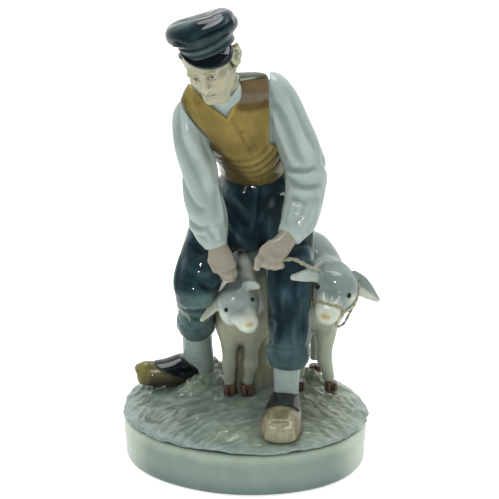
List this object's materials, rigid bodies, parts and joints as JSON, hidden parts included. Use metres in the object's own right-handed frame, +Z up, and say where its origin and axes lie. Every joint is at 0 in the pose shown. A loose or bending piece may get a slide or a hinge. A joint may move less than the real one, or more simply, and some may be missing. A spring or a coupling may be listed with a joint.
{
  "type": "figurine",
  "caption": "Glazed porcelain figurine of a farmer in a peaked cap who straddles one calf and leads another by a halter, on an oval plinth topped with turf.",
  "frame": {"origin": "middle of the figurine's footprint box, on the resting plane", "axes": "+Z up, the group faces -Y, and the farmer's left is +X"},
  "size_m": [0.1098, 0.105, 0.1962],
  "materials": {
    "plinth_glaze": "pale grey-green under a clear gloss glaze",
    "turf_glaze": "mottled grey-green under a clear gloss glaze",
    "skin_glaze": "warm pale flesh under a clear gloss glaze",
    "shirt_glaze": "pale blue-grey under a clear gloss glaze",
    "waistcoat_glaze": "ochre brown under a clear gloss glaze",
    "navy_glaze": "dark navy, worn paler on the ridges, under a clear gloss glaze",
    "black_glaze": "black under a clear gloss glaze",
    "wood_glaze": "pale wood brown under a clear gloss glaze",
    "calf_glaze": "white with grey shading under a clear gloss glaze",
    "hoof_glaze": "reddish brown under a clear gloss glaze",
    "rope_glaze": "rope brown under a clear gloss glaze"
  },
  "bodies": {
    "root": {"cap_band": "navy_glaze", "cap_crown": "navy_glaze", "cap_visor": "black_glaze", "clog_left": "wood_glaze", "clog_right": "wood_glaze", "halter_cheek_rope": "rope_glaze", "halter_chin_rope": "rope_glaze", "halter_noseband": "rope_glaze", "hand_left": "skin_glaze", "hand_right": "skin_glaze", "head": "skin_glaze", "instep_left": "black_glaze", "instep_right": "black_glaze", "lead_rope": "rope_glaze", "led_calf_body": "calf_glaze", "led_calf_ear_left": "calf_glaze", "led_calf_ear_right": "calf_glaze", "led_calf_head": "calf_glaze", "led_calf_hoof_fore_left": "hoof_glaze", "led_calf_hoof_fore_right": "hoof_glaze", "led_calf_hoof_hind_left": "hoof_glaze", "led_calf_hoof_hind_right": "hoof_glaze", "led_calf_leg_fore_left": "calf_glaze", "led_calf_leg_fore_right": "calf_glaze", "led_calf_leg_hind_left": "calf_glaze", "led_calf_leg_hind_right": "calf_glaze", "led_calf_tail": "calf_glaze", "plinth": "plinth_glaze", "shirt_collar": "shirt_glaze", "sleeve_left": "shirt_glaze", "sleeve_right": "shirt_glaze", "stocking_left": "shirt_glaze", "stocking_right": "shirt_glaze", "straddled_calf_body": "calf_glaze", "straddled_calf_ear_left": "calf_glaze", "straddled_calf_ear_right": "calf_glaze", "straddled_calf_head": "calf_glaze", "straddled_calf_hoof_fore_left": "hoof_glaze", "straddled_calf_hoof_fore_right": "hoof_glaze", "straddled_calf_hoof_hind_left": "hoof_glaze", "straddled_calf_hoof_hind_right": "hoof_glaze", "straddled_calf_leg_fore_left": "calf_glaze", "straddled_calf_leg_fore_right": "calf_glaze", "straddled_calf_leg_hind_left": "calf_glaze", "straddled_calf_leg_hind_right": "calf_glaze", "straddled_calf_tail": "calf_glaze", "trouser_leg_left": "navy_glaze", "trouser_leg_right": "navy_glaze", "trouser_seat": "navy_glaze", "turf": "turf_glaze", "turn_up_left": "navy_glaze", "turn_up_right": "navy_glaze", "waistcoat": "waistcoat_glaze"}
  },
  "joints": []
}
